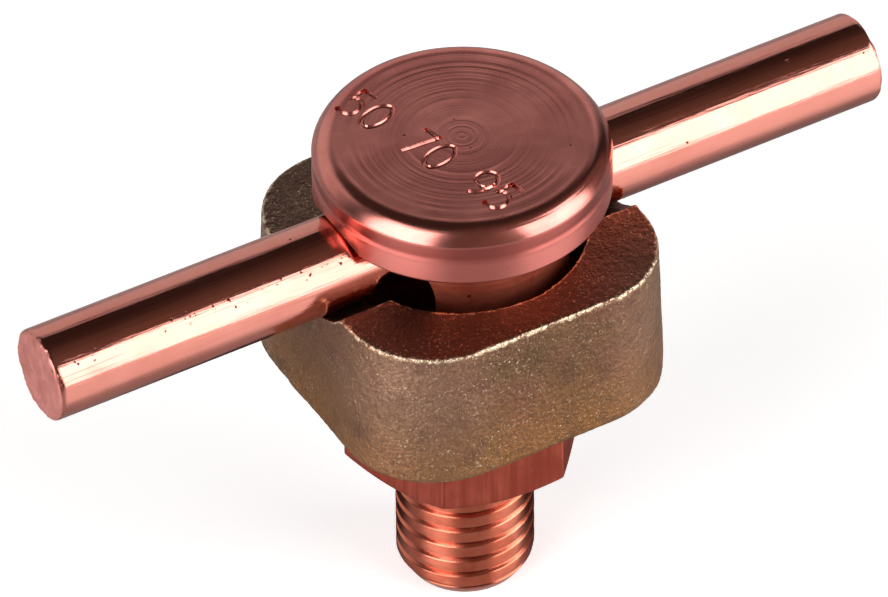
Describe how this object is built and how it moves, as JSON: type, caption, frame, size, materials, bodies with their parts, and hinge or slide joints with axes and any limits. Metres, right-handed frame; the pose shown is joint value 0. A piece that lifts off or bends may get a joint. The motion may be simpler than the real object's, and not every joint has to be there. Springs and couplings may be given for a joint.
{
  "type": "round conductor connector",
  "caption": "Clamp connector for a round conductor: round-headed copper bolt with a cross hole, grooved cast gunmetal block, hexagon nut and a short length of conductor.",
  "frame": {"origin": "on the bolt's axis in the plane of the nut's lower face, where the free end of the stud leaves the nut", "axes": "+Z along the bolt from the stud to the head, +X along the conductor"},
  "size_m": [0.08, 0.0298, 0.0478],
  "materials": {
    "forged_copper": "turned and bright-dipped copper with a satin sheen",
    "cast_gunmetal": "sand-cast gunmetal, dull olive brown with bright worn edges",
    "nut_copper": "satin copper with fine turning marks",
    "drawn_copper": "bright drawn copper with fine specks and scratches"
  },
  "bodies": {
    "bolt": {"clamp_bolt": "forged_copper"},
    "block": {"clamp_block": "cast_gunmetal"},
    "nut": {"hex_nut": "nut_copper"},
    "conductor": {"round_conductor": "drawn_copper"}
  },
  "joints": [
    {"name": "block_slide", "type": "slide", "parent": "bolt", "child": "block", "axis": [0, 0, -1], "range_m": [0, 0.014]},
    {"name": "nut_turn", "type": "hinge", "parent": "block", "child": "nut", "pos_m": [0, 0, 0.005], "axis": [0, 0, -1], "range_deg": [0, 2880]},
    {"name": "conductor_slide", "type": "slide", "parent": "bolt", "child": "conductor", "axis": [1, 0, 0], "range_m": [-0.0245, 0.0255]}
  ],
  "couplings": [
    {"joint": "nut_turn", "follows": "block_slide", "rad_per_m": 3590.4}
  ]
}
